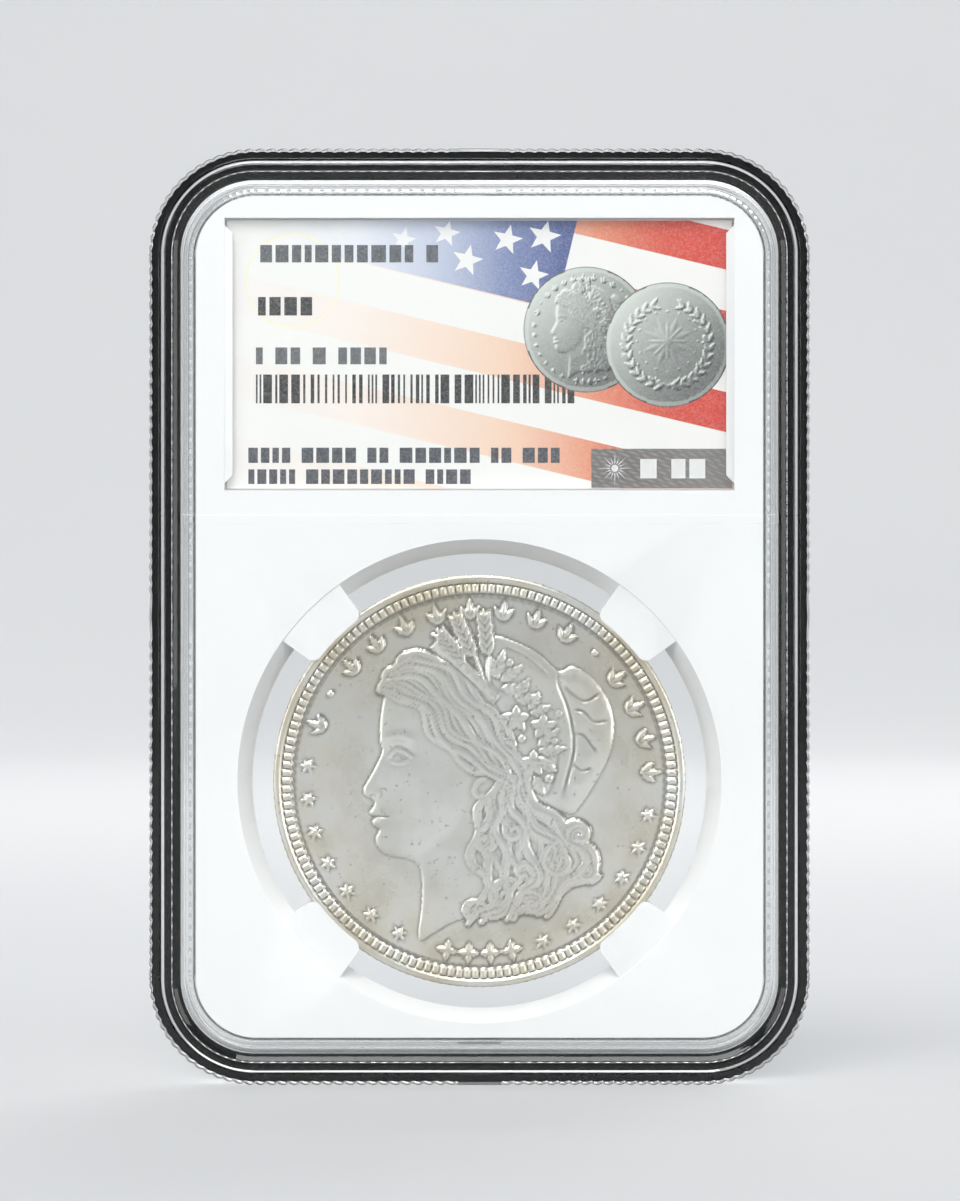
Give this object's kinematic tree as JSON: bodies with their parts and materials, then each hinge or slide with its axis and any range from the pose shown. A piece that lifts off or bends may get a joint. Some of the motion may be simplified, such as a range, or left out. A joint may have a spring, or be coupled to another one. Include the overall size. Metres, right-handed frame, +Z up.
{
  "type": "graded coin slab",
  "caption": "Sealed clear holder: two welded shells round a white core whose four prongs grip a large silver coin, with a label bay above it on each face.",
  "frame": {"origin": "centre of the box's base, on the surface the slab stands on", "axes": "+Z up along the slab's height, +X to the viewer's right seen from the front, -Y out of the front face"},
  "size_m": [0.0608, 0.008, 0.0861],
  "materials": {
    "clear_plastic": "clear moulded polystyrene, polished windows",
    "white_plastic": "white moulded plastic, fine satin",
    "silver": "circulated silver with light warm toning",
    "printed_label": "printed and laminated card",
    "foil": "embossed metal foil"
  },
  "bodies": {
    "holder": {"front_shell": "clear_plastic", "back_shell": "clear_plastic", "core_insert": "white_plastic", "front_label": "printed_label", "back_label": "printed_label", "front_foil": "foil", "back_foil": "foil"},
    "coin": {"coin": "silver"}
  },
  "joints": [
    {"name": "coin_turn", "type": "hinge", "parent": "holder", "child": "coin", "pos_m": [0, 0, 0.0279], "axis": [0, 1, 0], "continuous": true}
  ]
}
